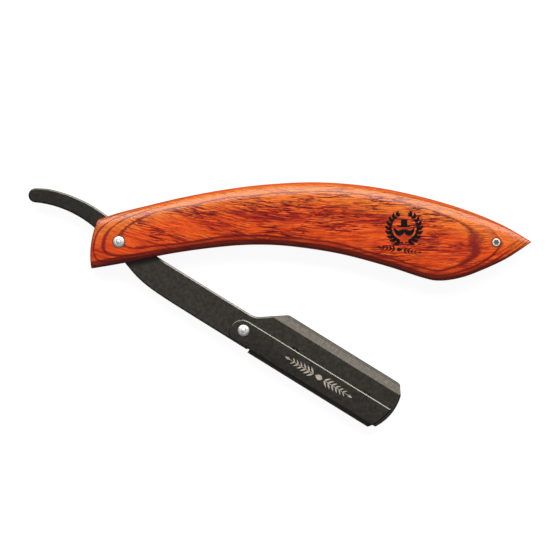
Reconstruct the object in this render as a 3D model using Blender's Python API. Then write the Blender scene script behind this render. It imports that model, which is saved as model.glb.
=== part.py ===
"""Straight razor with a replaceable half blade, as an assembly of separate pieces.

The razor lies flat with its scales parallel to the floor. +X runs along the handle to its
pointed tip, +Y is the side that the tail rises to, and +Z points out of the front scale.
Sizes are in millimetres and are scaled to metres as each mesh is made. The handle is drawn
about the pivot. The arm is drawn about the pivot too, in its own frame: +X along the blade
holder and +Y towards the cutting edge, and it is then turned to the resting angle.
"""

import math

import bmesh
import bpy
from mathutils import Matrix

MM = 0.001

# Placing: the pivot in the row's frame, whose origin is under the middle of the bounding box
PIVOT = (-54.6, 21.34, 7.0)
ARM_ANGLE = -31.7

# Thicknesses, counted from the middle plane of the razor
GAP_HALF = 2.6
SCALE_WALL = 2.2
SCALE_RISE = 2.2
ARM_HALF = 1.5
BLADE_SLOT_HALF = 0.1
COVER_INNER = 1.62
COVER_SHEET = 0.6

# Handle outline, clockwise edges from the pivot end to the tip
TOP_EDGE = [
    (-7.2, 7.5), (0.0, 9.9), (9.8, 12.35), (22.2, 15.25), (36.4, 17.85), (50.6, 19.55),
    (66.9, 20.25), (83.3, 19.1), (99.6, 16.1), (115.9, 11.5), (129.5, 6.1), (140.2, 0.0),
]
BOTTOM_EDGE = [
    (-9.4, -9.0), (1.7, -7.1), (18.0, -3.85), (34.3, -1.65), (46.5, -0.9), (58.8, -1.5),
    (75.1, -4.0), (91.4, -8.3), (103.0, -12.05), (109.0, -13.2), (116.4, -12.1),
    (124.1, -9.25), (132.0, -5.45), (140.2, 0.0),
]
END_BULGE = 1.2
END_BULGE_REACH = 10.0
HANDLE_LENGTH = 150.0
RIBS = 40
CROWN_TOP_WIDTH = 8.5
CROWN_BOTTOM_WIDTH = 8.0
CROWN_STEPS = (0.0, 0.05, 0.16, 0.34, 0.6, 1.0)
CROWN_LARGEST_SHARE = 0.47
HEEL_TAPER = 32.0
TIP_TAPER = 58.0
END_HEIGHT_REACH = 1.5

# Handle hardware
TIP_SCREW_AT = (128.1, -0.2)
TIP_HEAD_RADIUS = 1.42
TIP_HEAD_SEAT = 5.45
TIP_HEAD_TOP = 6.2
TIP_HEAD_BEVEL = 0.2
TIP_BARREL_RADIUS = 1.05
TIP_BARREL_END = 5.15
TIP_SHAFT_RADIUS = 0.65
TIP_SHAFT_END = -4.6
THREAD_BORE_END = -4.8
SOCKET_RADIUS = 0.85
SOCKET_LOBE = 0.11
SOCKET_DEPTH = 0.5
SPACER_START = 0.86
SPACER_INSET = 0.3
SPACER_CLEARANCE = 0.05
PIN_RADIUS = 0.8
PIN_CLEARANCE = 0.08
PIN_DOME = 0.12
COLLAR_RADIUS = 2.05
COLLAR_HEIGHT = 0.72
COLLAR_RIM_SHARE = 0.3
COLLAR_EDGE_BREAK = 0.1
SEAT_CLEARANCE = 0.15
SEAT_GAP = 0.04
PIVOT_SEAT = 6.05
PIVOT_PIN_HALF = 6.81
WASHER_RADIUS = 3.4
WASHER_INNER = 1.0
WASHER_GAP = 0.06

# Arm, in its own frame
ARM_RIM = 0.5
SHANK_TOP = 2.45
SHANK_BOTTOM = -8.35
TAIL_TIP = (-32.65, -1.5)
TAIL_TIP_RADIUS = 2.4
TAIL_TIP_ARC = (122, 292)
TAIL_TOP = [
    (-33.4, 0.85), (-30.6, 2.4), (-27.3, 3.6), (-22.5, 4.8), (-16.7, 5.6), (-12.0, 5.65),
    (-7.0, 5.3), (0.0, 4.45), (7.0, 3.25), (13.3, 2.55),
]
ARM_BOTTOM = [
    (36.0, -8.3), (24.0, -8.2), (16.4, -7.8), (11.0, -6.85), (5.5, -5.1), (0.0, -3.1),
    (-5.5, -1.4), (-10.0, -0.3), (-14.5, 0.1), (-19.5, -0.1), (-24.7, -1.05), (-28.7, -2.35),
    (-31.5, -3.6),
]
NECK = (51.8, -3.4)
NECK_PIN_HALF = 2.98
RISE_ANGLE = 35.5
RISE_FILLET = 6.0
JAW_START = 62.2
JAW_END = 106.7
JAW_EDGE = 9.16
JAW_CORNER = 0.7
BEVEL_LINE = 5.75
BEVEL_DROP = 1.15
END_CENTRE = (92.6, 1.2)
END_RADIUS = 17.1
HOLDER_BOTTOM = -7.75
HOLDER_STEP = 56.0
HOLDER_STEP_SLANT = 0.6
LEAF_RIM = 0.3
LEAF_EYE_RADIUS = 4.35
LEAF_EYE_CLEARANCE = 0.2
LEAF_EYE_AT = (51.8, -2.9)

# Blade location
LOCATING_PINS = {"locating_pin_heel": 70.3, "locating_pin_toe": 98.8}
LOCATING_PIN_Y = -0.4
LOCATING_PIN_RADIUS = 0.85
LOCATING_PIN_SHOULDER = -0.07
LOCATING_PIN_BREAK = 0.9
LOCATING_PIN_TOP = 1.15
LOCATING_SHANK_RADIUS = 0.5
LOCATING_FIT = 0.05
WINDOW_HALF_LENGTH = 1.25
WINDOW_BOTTOM = -1.6
WINDOW_TOP = 0.75

# Swing cover
COVER_TOP = 0.15
COVER_EYE_AT = (51.75, -4.3)
COVER_EYE_RADIUS = 4.45
CHEEK_BOTTOM = -7.9
FOLD_START = 56.9
FOLD_BOTTOM = -9.15
FOLD_RADIUS = 1.7
COVER_END_INSET = 1.0
COVER_RIM = 0.4

# How far cutters reach from the middle plane, and past the outlines
HANDLE_CUT = 9.0
ARM_CUT = 3.0
PLAN_CUT = 12.0
LONG_CUT = (30.0, 125.0)

WOOD = ("lacquered_wood", (0.62, 0.12, 0.03), 0.3, 0.0)
DARK_STEEL = ("gunmetal_steel", (0.045, 0.04, 0.034), 0.45, 1.0)
BRIGHT_STEEL = ("bright_steel", (0.75, 0.75, 0.76), 0.25, 1.0)
BRASS = ("brass", (0.7, 0.5, 0.2), 0.35, 1.0)


# Small helpers


def skin(look):
    """The material of that name, made when it is first asked for."""
    name, colour, roughness, metallic = look
    found = bpy.data.materials.get(name)
    if found:
        return found
    made = bpy.data.materials.new(name)
    made.use_nodes = True
    shader = made.node_tree.nodes["Principled BSDF"]
    shader.inputs["Base Color"].default_value = (*colour, 1.0)
    shader.inputs["Roughness"].default_value = roughness
    shader.inputs["Metallic"].default_value = metallic
    return made


def pivot_empty(name, location, angle=0.0, parent=None):
    """An empty that marks a joint's axis, placed in millimetres in its parent's frame."""
    empty = bpy.data.objects.new(name, None)
    empty.location = [value * MM for value in location]
    empty.rotation_euler[2] = math.radians(angle)
    empty.parent = parent
    bpy.context.scene.collection.objects.link(empty)
    return empty


def piece(name, mesh, parent, look=None, origin=(0.0, 0.0)):
    """Turns a bmesh in millimetres into a named object, drawn about origin in its parent's frame."""
    bmesh.ops.transform(mesh, matrix=Matrix.Translation((-origin[0], -origin[1], 0)), verts=mesh.verts)
    bmesh.ops.scale(mesh, vec=(MM, MM, MM), verts=mesh.verts)
    data = bpy.data.meshes.new(name)
    mesh.to_mesh(data)
    mesh.free()
    made = bpy.data.objects.new(name, data)
    made.parent = parent
    bpy.context.scene.collection.objects.link(made)
    if look:
        data.materials.append(skin(look))
        data.shade_smooth()
        data.set_sharp_from_angle(angle=math.radians(30))
    return made


def cut(target, tool, operation="DIFFERENCE"):
    """Keeps tool as a hidden cutter and gives target a Boolean with it."""
    tool.hide_render = True
    tool.display_type = "WIRE"
    step = target.modifiers.new(tool.name, "BOOLEAN")
    step.operation = operation
    step.object = tool


def arc(centre, radius, start, end, steps):
    """Points on an arc, with its angles in degrees."""
    angles = [math.radians(start + (end - start) * i / steps) for i in range(steps + 1)]
    return [(centre[0] + radius * math.cos(a), centre[1] + radius * math.sin(a)) for a in angles]


def spline(points, share):
    """A point of the smooth curve through all the points, at a share of its length from 0 to 1."""
    chords = [math.dist(a, b) for a, b in zip(points, points[1:])]
    left = share * sum(chords)
    index = 0
    while index < len(chords) - 1 and left > chords[index]:
        left -= chords[index]
        index += 1
    t = min(left / chords[index], 1.0)
    before = points[max(index - 1, 0)]
    start, end = points[index], points[index + 1]
    after = points[min(index + 2, len(points) - 1)]
    curved = []
    for a, b, c, d in zip(before, start, end, after):
        curved.append(0.5 * (2 * b + (c - a) * t + (2 * a - 5 * b + 4 * c - d) * t**2
                             + (3 * b - a - 3 * c + d) * t**3))
    return tuple(curved)


def inset(outline, amount):
    """An anticlockwise outline drawn in by amount, with its corners kept sharp."""
    moved = []
    for i, point in enumerate(outline):
        before = outline[i - 1]
        after = outline[(i + 1) % len(outline)]
        normals = []
        for a, b in ((before, point), (point, after)):
            length = math.dist(a, b)
            normals.append(((a[1] - b[1]) / length, (b[0] - a[0]) / length))
        (ax, ay), (bx, by) = normals
        scale = amount / (1 + ax * bx + ay * by)
        moved.append((point[0] + (ax + bx) * scale, point[1] + (ay + by) * scale))
    return moved


def skin_loops(mesh, loops, closed=False):
    """Joins rings of the same number of vertices with quads, from the first to the last."""
    following = loops[1:] + loops[:1] if closed else loops[1:]
    for lower, upper in zip(loops, following):
        for i in range(len(lower)):
            j = (i + 1) % len(lower)
            mesh.faces.new((lower[i], lower[j], upper[j], upper[i]))


def plate(name, outline, rings, parent, look=None, origin=(0.0, 0.0)):
    """A flat piece from an anticlockwise outline. Each ring is how far it is drawn in, and its height."""
    mesh = bmesh.new()
    loops = [[mesh.verts.new((x, y, z)) for x, y in inset(outline, amount)] for amount, z in rings]
    mesh.faces.new(reversed(loops[0]))
    mesh.faces.new(loops[-1])
    skin_loops(mesh, loops)
    bmesh.ops.triangulate(mesh, faces=[face for face in mesh.faces if len(face.verts) > 4])
    return piece(name, mesh, parent, look, origin)


def turned(name, profile, at, parent, look=None, segments=24, ring=False, origin=(0.0, 0.0)):
    """A piece turned about Z from (radius, height) points that run up its outer side."""
    mesh = bmesh.new()
    loops = []
    for radius, height in profile:
        angles = [2 * math.pi * i / segments for i in range(segments)]
        loops.append([mesh.verts.new((at[0] + radius * math.cos(a), at[1] + radius * math.sin(a), height))
                      for a in angles])
    skin_loops(mesh, loops, closed=ring)
    if not ring:
        mesh.faces.new(reversed(loops[0]))
        mesh.faces.new(loops[-1])
    return piece(name, mesh, parent, look, origin)


def rod(name, radius, low, high, at, parent, look=None, segments=24):
    """A plain round rod, used for cutters."""
    return turned(name, [(radius, low), (radius, high)], at, parent, look, segments)


def block(name, low, high, parent):
    """A plain box between two corners, used for cutters."""
    outline = [(low[0], low[1]), (high[0], low[1]), (high[0], high[1]), (low[0], high[1])]
    return plate(name, outline, [(0.0, low[2]), (0.0, high[2])], parent)


def rims(half, chamfer, low=None):
    """Rings of a plate of that half thickness with rounded rims. The lower face can be elsewhere."""
    bottom = -half if low is None else low
    soft = 0.3 * chamfer
    return [
        (chamfer, bottom), (soft, bottom + soft), (0.0, bottom + chamfer),
        (0.0, half - chamfer), (soft, half - soft), (chamfer, half),
    ]


# Handle


def rib(share):
    """The two ends of a rib across the handle: its top point and its bottom point."""
    return spline(TOP_EDGE, share), spline(BOTTOM_EDGE, share)


def crown(distance, width):
    """A quarter ellipse from 0 at the edge to 1 at the given width and beyond."""
    return math.sqrt(1 - (1 - min(distance / width, 1.0)) ** 2)


def rib_points(share):
    """Points across one rib, from the bottom edge to the top, with the crown's share of its rise."""
    top, bottom = rib(share)
    width = math.dist(top, bottom)
    widest = CROWN_LARGEST_SHARE * width
    lower, upper = (min(reach, widest) for reach in (CROWN_BOTTOM_WIDTH, CROWN_TOP_WIDTH))
    shares = [step * lower / width for step in CROWN_STEPS]
    shares += [1 - step * upper / width for step in reversed(CROWN_STEPS)]
    along = share * HANDLE_LENGTH
    bulge = END_BULGE * max(0.0, 1 - along / END_BULGE_REACH) ** 2
    found = []
    for s in shares:
        x = bottom[0] + (top[0] - bottom[0]) * s - bulge * 4 * s * (1 - s)
        y = bottom[1] + (top[1] - bottom[1]) * s
        rise = min(crown(s * width, CROWN_BOTTOM_WIDTH), crown((1 - s) * width, CROWN_TOP_WIDTH))
        found.append((x, y, rise))
    return found


def scale_height(share, rise):
    """Height of the scale's outer face above the middle plane, for a rise of 0 to 1 across the rib."""
    along = share * HANDLE_LENGTH
    heel = crown(along + END_HEIGHT_REACH, HEEL_TAPER)
    tip = crown(HANDLE_LENGTH - along + END_HEIGHT_REACH, TIP_TAPER)
    return GAP_HALF + SCALE_WALL + SCALE_RISE * rise * heel * tip


def handle_shares():
    """Where the ribs stand, closer together at both ends."""
    return [0.5 - 0.5 * math.cos(math.pi * (0.04 + 0.92 * i / RIBS)) for i in range(RIBS + 1)]


def scale(name, side):
    """One wooden scale, flat inside and crowned outside. Side is 1 for the front, -1 for the rear."""
    shares = handle_shares()
    low, high = shares[0], shares[-1]
    shares = [(s - low) / (high - low) for s in shares]
    mesh = bmesh.new()
    outer = []
    for share in shares[:-1]:
        outer.append([mesh.verts.new((x, y, side * scale_height(share, d))) for x, y, d in rib_points(share)])
    inner = [[mesh.verts.new((row[i].co.x, row[i].co.y, side * GAP_HALF)) for i in (0, -1)] for row in outer]
    tip_x, tip_y = rib(1.0)[0]
    tip_outer = mesh.verts.new((tip_x, tip_y, side * scale_height(1.0, 0.0)))
    tip_inner = mesh.verts.new((tip_x, tip_y, side * GAP_HALF))
    for row, after in zip(outer, outer[1:]):
        for i in range(len(row) - 1):
            mesh.faces.new((row[i], after[i], after[i + 1], row[i + 1]))
    for i, after in zip(range(len(outer) - 1), inner[1:]):
        mesh.faces.new((inner[i][1], after[1], after[0], inner[i][0]))
        mesh.faces.new((inner[i][0], after[0], outer[i + 1][0], outer[i][0]))
        mesh.faces.new((outer[i][-1], outer[i + 1][-1], after[1], inner[i][1]))
    heel = outer[0]
    heel_inner = [mesh.verts.new((v.co.x, v.co.y, side * GAP_HALF)) for v in heel[1:-1]]
    heel_inner = [inner[0][0]] + heel_inner + [inner[0][1]]
    for i in range(len(heel) - 1):
        mesh.faces.new((heel[i], heel[i + 1], heel_inner[i + 1], heel_inner[i]))
    mesh.faces.new(heel_inner)
    last = outer[-1]
    for i in range(len(last) - 1):
        mesh.faces.new((last[i], tip_outer, last[i + 1]))
    mesh.faces.new((inner[-1][1], tip_inner, inner[-1][0]))
    mesh.faces.new((inner[-1][0], tip_inner, tip_outer, last[0]))
    mesh.faces.new((last[-1], tip_outer, tip_inner, inner[-1][1]))
    if side < 0:
        bmesh.ops.reverse_faces(mesh, faces=mesh.faces)
    bmesh.ops.triangulate(mesh, faces=[face for face in mesh.faces if len(face.verts) > 4])
    return piece(name, mesh, razor, WOOD)


def handle():
    """Both scales, with the holes and seats for the pin and the screw, and the spacer at the tip."""
    ends = (-HANDLE_CUT, HANDLE_CUT)
    pin_hole = rod("pin_hole", PIN_RADIUS + PIN_CLEARANCE, *ends, (0, 0), razor)
    barrel_hole = rod("barrel_hole", TIP_BARREL_RADIUS + PIN_CLEARANCE, *ends, TIP_SCREW_AT, razor)
    for name, side in (("front_scale", 1), ("rear_scale", -1)):
        wood = scale(name, side)
        seat_ends = sorted((side * PIVOT_SEAT, side * HANDLE_CUT))
        collar_seat = rod(name + "_collar_seat", COLLAR_RADIUS + SEAT_CLEARANCE, *seat_ends, (0, 0), razor)
        head_ends = sorted((side * TIP_HEAD_SEAT, side * HANDLE_CUT))
        head_radius = TIP_HEAD_RADIUS + SEAT_CLEARANCE
        head_seat = rod(name + "_head_seat", head_radius, *head_ends, TIP_SCREW_AT, razor)
        for tool in (pin_hole, collar_seat, barrel_hole, head_seat):
            cut(wood, tool)
    shares = [SPACER_START + (1 - SPACER_START) * i / 8 for i in range(9)]
    lower = [spline(BOTTOM_EDGE, share) for share in shares]
    upper = [spline(TOP_EDGE, share) for share in reversed(shares[:-1])]
    height = GAP_HALF - SPACER_CLEARANCE
    rings = [(SPACER_INSET, -height), (SPACER_INSET, height)]
    spacer = plate("tip_spacer", lower + upper, rings, razor, WOOD)
    cut(spacer, barrel_hole)


def collar_profile(seat, height, radius, hole):
    """Outer side, dome and bore of a domed collar whose flat face is at the seat."""
    rim = COLLAR_RIM_SHARE * height
    dome = []
    for i in range(6):
        angle = math.radians(90 * i / 5)
        dome.append((hole + (radius - hole) * math.cos(angle), seat + rim + (height - rim) * math.sin(angle)))
    return [(hole, seat), (radius - COLLAR_EDGE_BREAK, seat)] + dome


def collar(name, seat, side, at, parent):
    """A domed collar with a pin hole, on the front for side 1 and on the rear for side -1."""
    profile = collar_profile(seat, COLLAR_HEIGHT, COLLAR_RADIUS, PIN_RADIUS + PIN_CLEARANCE)
    if side < 0:
        profile = [(radius, -z) for radius, z in reversed(profile)]
    turned(name, profile, at, parent, BRIGHT_STEEL, segments=28, ring=True)


def pin(name, half, at, parent):
    """A plain pin with slightly domed ends, seen in the centres of its two collars."""
    dome = [
        (PIN_RADIUS, half - PIN_DOME), (0.75 * PIN_RADIUS, half - 0.25 * PIN_DOME), (0.35 * PIN_RADIUS, half),
    ]
    profile = [(radius, -z) for radius, z in reversed(dome)] + dome
    turned(name, profile, at, parent, BRIGHT_STEEL)


def pivot():
    """Pin, collars and thrust washers that the arm turns on."""
    pin("pivot_pin", PIVOT_PIN_HALF, (0, 0), razor)
    for name, side in (("front", 1), ("rear", -1)):
        collar("pivot_collar_" + name, PIVOT_SEAT + SEAT_GAP, side, (0, 0), razor)
        ends = sorted((side * (ARM_HALF + WASHER_GAP), side * (GAP_HALF - WASHER_GAP)))
        profile = [
            (WASHER_INNER, ends[0]), (WASHER_RADIUS, ends[0]),
            (WASHER_RADIUS, ends[1]), (WASHER_INNER, ends[1]),
        ]
        turned("pivot_washer_" + name, profile, (0, 0), razor, BRASS, ring=True)


def tip_fastener():
    """Six-lobe screw from the front, and the barrel nut that it turns into from the rear."""
    seat = TIP_HEAD_SEAT + SEAT_GAP
    screw = turned("tip_screw", [
        (TIP_SHAFT_RADIUS, TIP_SHAFT_END), (TIP_SHAFT_RADIUS, seat),
        (TIP_HEAD_RADIUS, seat), (TIP_HEAD_RADIUS, TIP_HEAD_TOP - TIP_HEAD_BEVEL),
        (TIP_HEAD_RADIUS - TIP_HEAD_BEVEL, TIP_HEAD_TOP),
    ], TIP_SCREW_AT, razor, BRIGHT_STEEL)
    lobes = []
    for i in range(36):
        angle = 2 * math.pi * i / 36
        radius = SOCKET_RADIUS + SOCKET_LOBE * math.cos(6 * angle)
        lobes.append((TIP_SCREW_AT[0] + radius * math.cos(angle), TIP_SCREW_AT[1] + radius * math.sin(angle)))
    depth = [(0.0, TIP_HEAD_TOP - SOCKET_DEPTH), (0.0, HANDLE_CUT)]
    recess = plate("six_lobe_recess", lobes, depth, razor)
    cut(screw, recess)
    bore = TIP_SHAFT_RADIUS + PIN_CLEARANCE
    nut = turned("tip_barrel_nut", [
        (TIP_HEAD_RADIUS - TIP_HEAD_BEVEL, -TIP_HEAD_TOP),
        (TIP_HEAD_RADIUS, -TIP_HEAD_TOP + TIP_HEAD_BEVEL),
        (TIP_HEAD_RADIUS, -seat), (TIP_BARREL_RADIUS, -seat),
        (TIP_BARREL_RADIUS, TIP_BARREL_END),
    ], TIP_SCREW_AT, razor, BRIGHT_STEEL)
    cut(nut, rod("thread_bore", bore, THREAD_BORE_END, HANDLE_CUT, TIP_SCREW_AT, razor))


# Arm and blade clamp


def rise_points():
    """The concave fillet from the shank's top edge to the rise, and the start of the jaw."""
    angle = math.radians(RISE_ANGLE)
    corner_x = JAW_START - (JAW_EDGE - SHANK_TOP) / math.tan(angle)
    fillet_x = corner_x - RISE_FILLET * math.tan(angle / 2)
    centre = (fillet_x, SHANK_TOP + RISE_FILLET)
    return arc(centre, RISE_FILLET, -90, -90 + RISE_ANGLE, 6)


def end_points(radius, low, high, steps):
    """The holder's convex end, from its low height up to its high one."""
    angles = [math.degrees(math.asin((y - END_CENTRE[1]) / radius)) for y in (low, high)]
    return arc(END_CENTRE, radius, *angles, steps)


def holder_outline(start):
    """The clamp half's outline from its lower left corner at start, round the end, to the rise."""
    turn = math.radians(RISE_ANGLE)
    jaw_heel = [
        (JAW_START + JAW_CORNER, JAW_EDGE), (JAW_START + 0.1 * JAW_CORNER, JAW_EDGE - 0.12 * JAW_CORNER),
        (JAW_START - JAW_CORNER * math.cos(turn), JAW_EDGE - JAW_CORNER * math.sin(turn)),
    ]
    jaw_toe = [
        (JAW_END + 0.8 * JAW_CORNER, JAW_EDGE - 1.2 * JAW_CORNER),
        (JAW_END + 0.29 * JAW_CORNER, JAW_EDGE - 0.35 * JAW_CORNER), (JAW_END - JAW_CORNER, JAW_EDGE),
    ]
    end = end_points(END_RADIUS, HOLDER_BOTTOM, BEVEL_LINE, 12)
    return [(start, HOLDER_BOTTOM)] + end + jaw_toe + jaw_heel


def arm_outline():
    """Anticlockwise outline: the holder, back along the top to the tail's tip, and along the bottom."""
    steps = 32
    shank_top = [(33.0, SHANK_TOP), (16.0, SHANK_TOP)]
    tail_top = [spline(TAIL_TOP, 1 - i / steps) for i in range(steps)]
    tail_tip = arc(TAIL_TIP, TAIL_TIP_RADIUS, *TAIL_TIP_ARC, 12)
    bottom = [spline(ARM_BOTTOM, 1 - i / steps) for i in range(1, steps + 1)]
    bottom.append((HOLDER_STEP, SHANK_BOTTOM))
    top = list(reversed(rise_points())) + shank_top + tail_top
    return holder_outline(HOLDER_STEP + HOLDER_STEP_SLANT) + top + tail_tip + bottom


def bevel_wedge(name, side):
    """The cutter that slopes the jaw down to its edge on one side."""
    mesh = bmesh.new()
    slope = BEVEL_DROP / (JAW_EDGE - BEVEL_LINE)
    beyond = JAW_EDGE + ARM_CUT
    corners = [
        (BEVEL_LINE, ARM_HALF), (beyond, ARM_HALF - slope * (beyond - BEVEL_LINE)),
        (beyond, ARM_HALF + ARM_CUT), (BEVEL_LINE, ARM_HALF + ARM_CUT),
    ]
    if side < 0:
        corners = [(y, -z) for y, z in reversed(corners)]
    loops = [[mesh.verts.new((x, y, z)) for y, z in corners] for x in LONG_CUT]
    mesh.faces.new(reversed(loops[0]))
    mesh.faces.new(loops[1])
    skin_loops(mesh, loops)
    return piece(name, mesh, arm_axis)


def leaf_outline():
    """The rear clamp half: the holder's outline with a round eye about the neck pin."""
    eye = arc(LEAF_EYE_AT, LEAF_EYE_RADIUS, 90, 270, 12)
    rise = [point for point in rise_points() if point[0] > LEAF_EYE_AT[0] + 0.5]
    start = [(LEAF_EYE_AT[0] + 2.5, LEAF_EYE_AT[1] - LEAF_EYE_RADIUS)]
    return holder_outline(HOLDER_STEP + HOLDER_STEP_SLANT)[1:] + list(reversed(rise)) + eye + start


def half_lap():
    """The cutter that leaves only the front half of the arm where the rear leaf lies."""
    reach = LEAF_EYE_RADIUS + LEAF_EYE_CLEARANCE
    eye = arc(LEAF_EYE_AT, reach, 90, 270, 12)
    beyond = [
        (LEAF_EYE_AT[0] + 3, -PLAN_CUT), (LONG_CUT[1], -PLAN_CUT),
        (LONG_CUT[1], PLAN_CUT), (LEAF_EYE_AT[0] + 2, PLAN_CUT),
    ]
    rings = [(0.0, -ARM_CUT), (0.0, BLADE_SLOT_HALF)]
    return plate("half_lap", eye + beyond, rings, arm_axis)


def arm():
    """Tail, tang, shank and front clamp half in one plate, with its holes and windows."""
    metal = plate("razor_arm", arm_outline(), rims(ARM_HALF, ARM_RIM), arm_axis, DARK_STEEL)
    cut(metal, half_lap())
    cut(metal, bevel_wedge("front_bevel", 1))
    for name, at in (("tang_hole", (0, 0)), ("neck_hole", NECK)):
        cut(metal, rod(name, PIN_RADIUS + PIN_CLEARANCE, -ARM_CUT, ARM_CUT, at, arm_axis))
    for name, x in LOCATING_PINS.items():
        low = (x - WINDOW_HALF_LENGTH, WINDOW_BOTTOM, -ARM_CUT)
        high = (x + WINDOW_HALF_LENGTH, WINDOW_TOP, ARM_CUT)
        cut(metal, block(name + "_window", low, high, arm_axis))


def neck_rivet():
    """Pin and two domed collars at the neck, which carry the cover and the rear leaf."""
    pin("neck_pin", NECK_PIN_HALF, NECK, arm_axis)
    seat = COVER_INNER + COVER_SHEET + SEAT_GAP
    for name, side in (("front", 1), ("rear", -1)):
        collar("neck_collar_" + name, seat, side, NECK, arm_axis)


def rear_leaf():
    """The rear clamp half and the two pins that locate a half blade."""
    rings = rims(-BLADE_SLOT_HALF, LEAF_RIM, low=-ARM_HALF)[:4] + [(0.0, -BLADE_SLOT_HALF)]
    metal = plate("rear_leaf", leaf_outline(), rings, leaf_axis, DARK_STEEL, NECK)
    cut(metal, bevel_wedge("rear_bevel", -1))
    cut(metal, rod("leaf_eye", PIN_RADIUS + 2 * PIN_CLEARANCE, -ARM_CUT, ARM_CUT, NECK, arm_axis))
    for name, x in LOCATING_PINS.items():
        at = (x, LOCATING_PIN_Y)
        hole = LOCATING_SHANK_RADIUS + LOCATING_FIT
        cut(metal, rod(name + "_hole", hole, -ARM_CUT, ARM_CUT, at, arm_axis, segments=16))
        turned(name, [
            (LOCATING_SHANK_RADIUS, LOCATING_FIT - ARM_HALF), (LOCATING_SHANK_RADIUS, LOCATING_PIN_SHOULDER),
            (LOCATING_PIN_RADIUS, LOCATING_PIN_SHOULDER), (LOCATING_PIN_RADIUS, LOCATING_PIN_BREAK),
            (0.7 * LOCATING_PIN_RADIUS, LOCATING_PIN_TOP),
        ], at, leaf_axis, BRIGHT_STEEL, segments=16, origin=NECK)


def channel_bar(name, half, bottom, radius):
    """A bar along the holder with its two lower edges rounded: the inside or outside of the fold."""
    lower_left = arc((bottom + radius, -half + radius), radius, 270, 180, 6)
    lower_right = [(y, -z) for y, z in reversed(lower_left)]
    profile = [(COVER_TOP + ARM_CUT, -half)] + lower_left + lower_right + [(COVER_TOP + ARM_CUT, half)]
    mesh = bmesh.new()
    loops = [[mesh.verts.new((x, y, z)) for y, z in profile] for x in reversed(LONG_CUT)]
    mesh.faces.new(reversed(loops[0]))
    mesh.faces.new(loops[1])
    skin_loops(mesh, loops)
    return piece(name, mesh, arm_axis)


def cover_outline():
    """The cover's plan: a round eye at the neck, the folded spine, and an end inside the holder's."""
    drop = math.degrees(math.asin((CHEEK_BOTTOM - COVER_EYE_AT[1]) / COVER_EYE_RADIUS))
    eye = arc(COVER_EYE_AT, COVER_EYE_RADIUS, 90, 180 - drop, 12)
    below_fold = FOLD_BOTTOM - COVER_SHEET
    spine = [(FOLD_START, CHEEK_BOTTOM), (FOLD_START, below_fold)]
    end = end_points(END_RADIUS - COVER_END_INSET, below_fold, COVER_TOP, 10)
    return eye + spine + end


def swing_cover():
    """The sheet channel that turns about the neck pin and closes the clamp."""
    outer = COVER_INNER + COVER_SHEET
    metal = plate("swing_cover", cover_outline(), rims(outer, COVER_RIM), cover_axis, DARK_STEEL, NECK)
    cut(metal, channel_bar("fold_outside", outer + 0.001, FOLD_BOTTOM, FOLD_RADIUS), "INTERSECT")
    inner_bottom = FOLD_BOTTOM + COVER_SHEET
    cut(metal, channel_bar("fold_inside", COVER_INNER, inner_bottom, FOLD_RADIUS - COVER_SHEET))
    low = (LONG_CUT[0], FOLD_BOTTOM - COVER_SHEET, -COVER_INNER)
    high = (FOLD_START, COVER_TOP + COVER_SHEET, COVER_INNER)
    cut(metal, block("eye_gap", low, high, arm_axis))
    cut(metal, rod("cover_hole", PIN_RADIUS + PIN_CLEARANCE, -ARM_CUT, ARM_CUT, NECK, arm_axis))


for old in list(bpy.data.objects):
    bpy.data.objects.remove(old)

razor = pivot_empty("razor", PIVOT)
arm_axis = pivot_empty("arm_axis", (0, 0, 0), ARM_ANGLE, razor)
cover_axis = pivot_empty("cover_axis", (*NECK, 0), 0, arm_axis)
leaf_axis = pivot_empty("leaf_axis", (*NECK, 0), 0, arm_axis)

handle()
pivot()
tip_fastener()
arm()
neck_rivet()
rear_leaf()
swing_cover()
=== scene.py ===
"""Looks of the straight razor: wooden scales, rivets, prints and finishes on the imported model.

Lengths are in millimetres, and become metres as each mesh is made. The sizes and distances of the
stage, the lights and the camera are in metres. The handle's outline is drawn about its pivot. Marks
on the arm are placed about it too, in the arm's own directions, which are turned by ARM_ANGLE.
"""

import math

import bmesh
import bpy
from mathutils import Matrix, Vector
from mathutils.bvhtree import BVHTree


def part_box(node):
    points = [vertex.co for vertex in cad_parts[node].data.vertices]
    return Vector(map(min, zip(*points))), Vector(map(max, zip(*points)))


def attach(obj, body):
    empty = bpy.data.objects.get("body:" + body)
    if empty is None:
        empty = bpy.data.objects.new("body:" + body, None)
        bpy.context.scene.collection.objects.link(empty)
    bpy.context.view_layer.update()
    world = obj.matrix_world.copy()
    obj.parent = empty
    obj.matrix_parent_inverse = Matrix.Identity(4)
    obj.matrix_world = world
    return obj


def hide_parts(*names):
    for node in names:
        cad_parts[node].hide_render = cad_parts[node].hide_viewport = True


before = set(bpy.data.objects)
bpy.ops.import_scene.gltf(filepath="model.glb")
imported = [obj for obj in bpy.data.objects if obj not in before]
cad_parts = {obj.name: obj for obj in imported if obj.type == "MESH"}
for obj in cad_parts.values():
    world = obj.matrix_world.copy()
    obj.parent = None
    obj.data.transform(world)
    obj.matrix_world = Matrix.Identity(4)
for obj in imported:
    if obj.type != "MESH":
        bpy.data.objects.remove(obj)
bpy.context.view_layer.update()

MM = 0.001


def box_centre(node):
    """The middle of a CAD node's box, in millimetres."""
    low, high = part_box(node)
    return (Vector(low) + Vector(high)) / 2 / MM


# Where the CAD pieces are
PIVOT = box_centre("pivot_pin")
NECK = box_centre("neck_pin")
TIP_SCREW = box_centre("tip_barrel_nut")
MIDDLE = PIVOT.z
ARM_ANGLE = math.radians(-31.7)

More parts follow.
